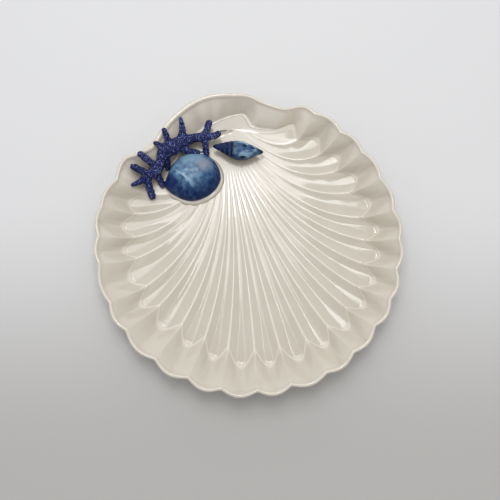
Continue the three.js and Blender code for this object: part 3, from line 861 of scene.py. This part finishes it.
def cobalt_glaze(colours):
    """Dark glaze with violet specks in patches, and painted shade where it faces down"""
    material, tree, shader = new_material("cobalt_glaze_speckled")
    set_inputs(shader, Roughness=0.3, IOR=1.2, Coat_Weight=0.12, Coat_Roughness=0.06)
    where = new_node(tree, "TexCoord").outputs["Object"]
    specks = mask_between(tree, cloud(tree, where, scale=760, detail=2), low=0.52, high=0.68)
    patches = mask_between(tree, cloud(tree, where, scale=160, detail=2), low=0.25, high=0.5)
    patchy = maths(tree, "MULTIPLY", specks, patches)
    # Painted shade: darker where the surface faces down, away from the light
    facing = new_node(tree, "SeparateXYZ")
    tree.links.new(new_node(tree, "TexCoord").outputs["Normal"], facing.inputs["Vector"])
    painted_top_light = mask_between(tree, facing.outputs["Z"], low=-0.1, high=0.85)
    colour = mix_colours(tree, painted_top_light, colours.sea_night_and_painted_shade, colours.cobalt)
    colour = mix_colours(tree, patchy, colour, colours.violet)
    tree.links.new(colour, shader.inputs["Base Color"])
    add_ripple(
        tree, shader, ripple_scale=300, peel_scale=900, peel_share=0.5, height=0.0004, strength=0.4
    )
    return material


# Washes of the cockle: places from its middle, in shares of its reach, and how strong they are
# The crown's pale wash is painted light on the dome's north side
CROWN_PLACE, CROWN_PAINTED_LIGHT = (-0.1, 0.8), 0.7
BODY_PLACE = (-0.12, 0.5)
BEAK_PLACE, BEAK_LINE, BEAK_TONE = (-0.82, -0.3), 0.6, 0.97
GREY_PLACE, GREY_TONE = (0.42, 0.38), 0.7
CREASE_MIDDLE, CREASE_SHIFT = (-0.2, -0.08), 0.04
GLOSS_PLACE, GLOSS_COAT = (-0.1, 0.1), 0.75
STIR_REACH = 0.42  # how far the edges of the washes wander


def cockle_glaze(colours, middle, reach):
    """Washes of blue: painted light over the crown's north side, darker towards the edges, most to the
    south, and pooled dark over the beak
    """
    material, tree, shader = new_material("cockle_wash")
    set_inputs(shader, Roughness=0.25, IOR=1.2, Coat_Roughness=0.02)
    add_ripple(
        tree, shader, ripple_scale=130, peel_scale=500, peel_share=0.2, height=0.0008, strength=0.2
    )
    flat = placed(tree, middle, reach)
    clouds = cloud(tree, flat, scale=2.6, detail=4, output="Color")
    stir = vectors(tree, "SUBTRACT", "Vector", clouds, (0.5, 0.5, 0.5))
    where = vectors(tree, "MULTIPLY_ADD", "Vector", stir, (STIR_REACH, STIR_REACH, 0), flat)

    def near(point, far, close):
        distance = vectors(tree, "DISTANCE", "Value", where, (*point, 0))
        return mask_between(tree, distance, far, close)

    across = vectors(tree, "DOT_PRODUCT", "Value", where, (*CREASE_FACING, 0))
    wash = cloud(tree, flat, scale=5, detail=5)
    light = mask_between(tree, wash, low=0.3, high=0.72)
    colour = mix_colours(tree, light, colours.sea_mid, colours.sea_light)
    # Painted light: paler towards the dome's north side, where the light falls
    crown = maths(tree, "MULTIPLY", near(CROWN_PLACE, far=0.75, close=0.15), CROWN_PAINTED_LIGHT)
    colour = mix_colours(tree, crown, colour, colours.sea_pale)
    # Darker towards its edges, most towards the south
    edge = maths(tree, "SUBTRACT", 1, near(BODY_PLACE, far=1.2, close=0.55))
    beak = maths(tree, "MULTIPLY", mask_between(tree, across, CREASE_PLACE, BEAK_LINE), BEAK_TONE)
    dark = maths(tree, "MAXIMUM", edge, beak)
    dark = maths(tree, "MULTIPLY", dark, mask_between(tree, wash, low=1.6, high=0.3))
    colour = mix_colours(tree, dark, colour, colours.sea_dark)
    grey = maths(tree, "MULTIPLY", near(GREY_PLACE, far=0.4, close=0), GREY_TONE)
    colour = mix_colours(tree, grey, colour, colours.sea_grey)
    colour = mix_colours(tree, near(BEAK_PLACE, far=0.34, close=0.05), colour, colours.beak_violet)
    off_crease = maths(tree, "ABSOLUTE", maths(tree, "SUBTRACT", across, CREASE_PLACE - CREASE_SHIFT))
    on_crease = mask_between(tree, off_crease, low=0.09, high=0.01)
    crease = maths(tree, "MULTIPLY", on_crease, near(CREASE_MIDDLE, far=0.6, close=0.2))
    colour = mix_colours(tree, crease, colour, colours.sea_pale)
    tree.links.new(colour, shader.inputs["Base Color"])
    coat = maths(tree, "MULTIPLY", near(GLOSS_PLACE, far=0.6, close=0.1), GLOSS_COAT)
    tree.links.new(coat, shader.inputs["Coat Weight"])
    return material


def spiral_glaze(colours):
    """A pale body with dark bands down its spire and in its slits, and painted shade low on its front"""
    material, tree, shader = new_material("spiral_wash")
    set_inputs(shader, Roughness=0.25, IOR=1.2, Coat_Weight=0.18, Coat_Roughness=0.05)
    ripple = add_ripple(
        tree, shader, ripple_scale=150, peel_scale=600, peel_share=0.2, height=0.0006, strength=0.3
    )
    tone = mask_between(tree, ripple.outputs["Tone"], low=0.38, high=0.6)
    body = mix_colours(tree, tone, colours.sea_mid, colours.sea_pale)
    lines = mask_between(tree, ripple.outputs["Tone"], low=0.45, high=0.8)
    spire = mix_colours(tree, lines, colours.beak_violet, colours.sea_mid)
    colour = mix_colours(tree, attribute(tree, "spire"), body, spire)
    # Night blue in its bands and slits, and as painted shade low on its front
    colour = mix_colours(tree, attribute(tree, "dark_band_and_painted_shade"), colour, colours.sea_night_and_painted_shade)
    tree.links.new(colour, shader.inputs["Base Color"])
    return material


# Stage, in metres
TABLE_HALF = 3
TABLE_PAINTED_SHADE = (0.06, -0.2)  # where along Y painted shade darkens the table towards the viewer and south of the dish
ROOM_COLOUR = (0.97, 0.98, 1, 1)
# The room is darkest overhead and a little to the front; it brightens along this direction, between
# two places along it with their strengths
ROOM_BRIGHTENS = Vector((-0.1, 0.32, -0.94))
ROOM_DARKEST, ROOM_BRIGHTEST = (-0.98, 0.35), (0.15, 0.95)
WHITE, WARM = (1, 1, 1), (1, 0.86, 0.72)
# Lamps that face down: place from the middle of the dish, width, depth, watts, colour
LAMPS = {
    "ceiling_panel": ((-0.02, 0.36, 1.32), 0.52, 0.65, 3.1, WHITE),
    "overhead_lamp": ((-0.023, 0.391, 1.3), 0.1, 0.13, 0.7, WHITE),
    "east_strip": ((0.27, 0.2, 1.3), 0.11, 1.0, 1.6, WHITE),
    "west_strip": ((-0.36, 0.2, 1.3), 0.25, 1.0, 1.5, WHITE),
    "north_strip": ((-0.15, 0.84, 1.3), 1.0, 0.25, 3.2, WHITE),
    "south_panel": ((0.5, -0.9, 1.2), 1.0, 0.5, 1.3, WARM),
}
CLIP_START = 0.01  # nearest the camera sees

# Coral, after its coils are joined
SWELL_ROUNDS, SHRINK_ROUNDS, SOFTENING = 8, 6, 0.5
SHRINK_SHARE = 0.8  # of the swelling that is taken back
PORE_SIZE, PORE_CONTRAST = 2.2 * MM, 1.2


# Operators
class SHELLPLATE_OT_stage(bpy.types.Operator):
    """Table, lamps, world and camera"""

    bl_idname = "shell_plate.stage"
    bl_label = "Stage"

    def execute(self, context):
        scene = context.scene
        view = scene.plate_view
        scene.view_settings.view_transform = "Standard"
        bm = bmesh.new()
        bmesh.ops.create_grid(bm, x_segments=1, y_segments=1, size=TABLE_HALF)
        mesh = bpy.data.meshes.new("table")
        bm.to_mesh(mesh)
        bm.free()
        table = bpy.data.objects.new("table", mesh)
        material, tree, shader = new_material("table_white")
        set_inputs(shader, Roughness=0.8)
        place = new_node(tree, "SeparateXYZ")
        tree.links.new(new_node(tree, "TexCoord").outputs["Object"], place.inputs[0])
        # Painted shade: the table darker towards the viewer and south of the dish, in place of the
        # light's falloff
        front = mask_between(tree, place.outputs["Y"], *TABLE_PAINTED_SHADE)
        colours = scene.plate_colours
        colour = mix_colours(tree, front, colours.floor, colours.floor_front_painted_shade)
        tree.links.new(colour, shader.inputs["Base Color"])
        mesh.materials.append(material)
        scene.collection.objects.link(table)

        world = bpy.data.worlds.new("room")
        world.use_nodes = True
        sky = world.node_tree
        where = new_node(sky, "TexCoord").outputs["Generated"]
        fade = new_node(sky, "MapRange")
        wire(sky, fade.inputs["Value"], vectors(sky, "DOT_PRODUCT", "Value", where, ROOM_BRIGHTENS))
        for end, (at, strength) in (("Min", ROOM_DARKEST), ("Max", ROOM_BRIGHTEST)):
            fade.inputs["From " + end].default_value = at
            fade.inputs["To " + end].default_value = strength
        background = sky.nodes["Background"]
        set_inputs(background, Color=ROOM_COLOUR)
        sky.links.new(fade.outputs["Result"], background.inputs["Strength"])
        scene.world = world

        middle = DISH_MIDDLE.to_3d()
        for name, (place, width, depth, power, colour) in LAMPS.items():
            lamp = bpy.data.lights.new(name, "AREA")
            lamp.shape = "RECTANGLE"
            lamp.size, lamp.size_y = width, depth
            lamp.energy = power
            lamp.color = colour
            holder = bpy.data.objects.new(name, lamp)
            holder.location = middle + Vector(place)
            scene.collection.objects.link(holder)

        lens = bpy.data.cameras.new("camera")
        lens.sensor_fit = "HORIZONTAL"
        lens.lens = lens.sensor_width * view.focal_share
        lens.clip_start = CLIP_START
        camera = bpy.data.objects.new("camera", lens)
        target = middle + Vector(view.target)
        back = Vector((0, -math.cos(view.elevation), math.sin(view.elevation)))
        camera.location = target + back * view.distance
        camera.rotation_euler = (target - camera.location).to_track_quat("-Z", "Y").to_euler()
        scene.collection.objects.link(camera)
        scene.camera = camera
        return {"FINISHED"}


class SHELLPLATE_OT_dish(bpy.types.Operator):
    """Fluted dish with its lobed lip and hinge ear"""

    bl_idname = "shell_plate.dish"
    bl_label = "Dish"

    def execute(self, context):
        bm = bmesh.new()
        skin(bm, dish_columns(context.scene.plate_sizes), "thin_glaze_and_painted_light")
        glaze = cream_glaze(context.scene.plate_colours)
        finish_piece(context, "dish", bm, glaze, ["plate_body"])
        return {"FINISHED"}


class SHELLPLATE_OT_foot(bpy.types.Operator):
    """Foot ring under the floor"""

    bl_idname = "shell_plate.foot"
    bl_label = "Foot Ring"

    def execute(self, context):
        bm = bmesh.new()
        skin(bm, ring_columns(context.scene.plate_sizes), "bare_clay")
        glaze = cream_glaze(context.scene.plate_colours)
        finish_piece(context, "foot", bm, glaze, ["foot_ring"])
        return {"FINISHED"}


class SHELLPLATE_OT_beds(bpy.types.Operator):
    """Pads of slip that hold the two shells"""

    bl_idname = "shell_plate.beds"
    bl_label = "Slip Beds"

    def execute(self, context):
        sizes = context.scene.plate_sizes
        hub = hub_middle(sizes)
        axis = SPIRAL_END - SPIRAL_TIP
        floor_z = FOOT_TOP + sizes.floor_thickness
        low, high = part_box("spiral_bed")
        half = (high.xy - low.xy) / 2

        def under_cockle(share):
            return cockle_edge(share, sizes.bed_edge)

        def under_spiral(share):
            turn = 2 * math.pi * share
            across = Vector((-axis.y, axis.x)).normalized() * half.y * SPIRAL_BED_WIDTH
            return axis.normalized() * half.x * math.cos(turn) + across * math.sin(turn)

        glaze = cream_glaze(context.scene.plate_colours)
        for name, middle, edge_at, top in (
            ("cockle_bed", COCKLE_PLACE + COCKLE_BED_SHIFT, under_cockle, BED_TOP),
            ("spiral_bed", SPIRAL_TIP.lerp(SPIRAL_END, SPIRAL_BED_PLACE), under_spiral, high.z),
        ):
            bm = bmesh.new()
            skin(bm, bed_columns(hub + middle, edge_at, floor_z, top), "thin_glaze_and_painted_light")
            finish_piece(context, name + "_slip", bm, glaze, [name])
        return {"FINISHED"}


class SHELLPLATE_OT_cockle(bpy.types.Operator):
    """Domed cockle"""

    bl_idname = "shell_plate.cockle"
    bl_label = "Cockle"

    def execute(self, context):
        middle = hub_middle(context.scene.plate_sizes) + COCKLE_PLACE
        bm = bmesh.new()
        skin(bm, cockle_columns(middle), "thin_glaze_and_painted_light")
        reach = COCKLE_OUTLINE[0][1] * MM
        glaze = cockle_glaze(context.scene.plate_colours, middle + DISH_MIDDLE, reach)
        finish_piece(context, "cockle", bm, glaze, ["cockle_shell"])
        return {"FINISHED"}


class SHELLPLATE_OT_spiral(bpy.types.Operator):
    """Spiral shell"""

    bl_idname = "shell_plate.spiral"
    bl_label = "Spiral Shell"

    def execute(self, context):
        hub = hub_middle(context.scene.plate_sizes)
        bm = bmesh.new()
        # The layer holds its dark bands and slits, and painted shade low on its front
        skin(bm, spiral_columns(hub + SPIRAL_TIP, hub + SPIRAL_END), "dark_band_and_painted_shade")
        spire = bm.verts.layers.float.new("spire")
        start = hub + SPIRAL_TIP + DISH_MIDDLE
        axis = SPIRAL_END - SPIRAL_TIP
        for vert in bm.verts:
            along = (vert.co.xy - start).dot(axis) / axis.length_squared
            vert[spire] = 1 - smooth(along, WHORL_END - SPIRE_WASH_BEFORE, WHORL_END + SPIRE_WASH_AFTER)
        glaze = spiral_glaze(context.scene.plate_colours)
        finish_piece(context, "spiral", bm, glaze, ["spiral_shell"])
        return {"FINISHED"}


class SHELLPLATE_OT_coral(bpy.types.Operator):
    """Coral spray: its coils fused, smoothed and pitted with pores"""

    bl_idname = "shell_plate.coral"
    bl_label = "Coral Spray"

    def execute(self, context):
        sizes = context.scene.plate_sizes
        bm = bmesh.new()
        for node in CORAL_NODES:
            bm.from_mesh(frame["nodes"][node].data)
        bmesh.ops.remove_doubles(bm, verts=bm.verts, dist=WELD)
        glaze = cobalt_glaze(context.scene.plate_colours)
        piece = finish_piece(context, "coral_spray", bm, glaze, CORAL_NODES)
        for name, by, rounds in (
            ("swell", sizes.coral_web, SWELL_ROUNDS),
            ("shrink", -SHRINK_SHARE * sizes.coral_web, SHRINK_ROUNDS),
        ):
            grow = piece.modifiers.new(name, "DISPLACE")
            grow.strength = by
            grow.mid_level = 0
            fuse = piece.modifiers.new(name + "_fuse", "REMESH")
            fuse.mode = "VOXEL"
            fuse.voxel_size = sizes.coral_voxel
            fuse.use_smooth_shade = True
            soften = piece.modifiers.new(name + "_soften", "SMOOTH")
            soften.factor = SOFTENING
            soften.iterations = rounds
        grain = bpy.data.textures.new("pores", "VORONOI")
        grain.noise_scale = PORE_SIZE
        grain.noise_intensity = PORE_CONTRAST
        pit = piece.modifiers.new("pit", "DISPLACE")
        pit.texture = grain
        pit.texture_coords = "LOCAL"
        pit.strength = sizes.coral_pores
        pit.mid_level = 0.5
        return {"FINISHED"}


PIECES = [
    SHELLPLATE_OT_stage, SHELLPLATE_OT_dish, SHELLPLATE_OT_foot, SHELLPLATE_OT_beds,
    SHELLPLATE_OT_cockle, SHELLPLATE_OT_spiral, SHELLPLATE_OT_coral,
]


class SHELLPLATE_PT_panel(bpy.types.Panel):
    """Makes the pieces of the plate"""

    bl_idname = "SHELLPLATE_PT_panel"
    bl_label = "Shell Plate"
    bl_space_type = "VIEW_3D"
    bl_region_type = "UI"
    bl_category = "Shell Plate"

    def draw(self, context):
        for group in (context.scene.plate_sizes, context.scene.plate_colours, context.scene.plate_view):
            for name in group.__annotations__:
                self.layout.prop(group, name)
        for piece in PIECES:
            self.layout.operator(piece.bl_idname)


GROUPS = {"plate_sizes": PlateSizes, "plate_colours": PlateColours, "plate_view": PlateView}


def register():
    for made in (*GROUPS.values(), *PIECES, SHELLPLATE_PT_panel):
        bpy.utils.register_class(made)
    for name, group in GROUPS.items():
        setattr(bpy.types.Scene, name, PointerProperty(type=group))


def unregister():
    for name in GROUPS:
        delattr(bpy.types.Scene, name)
    for made in reversed((*GROUPS.values(), *PIECES, SHELLPLATE_PT_panel)):
        bpy.utils.unregister_class(made)


def main():
    register()
    bpy.ops.shell_plate.stage()
    bpy.ops.shell_plate.dish()
    bpy.ops.shell_plate.foot()
    bpy.ops.shell_plate.beds()
    bpy.ops.shell_plate.cockle()
    bpy.ops.shell_plate.spiral()
    bpy.ops.shell_plate.coral()


if __name__ == "__main__":
    main()
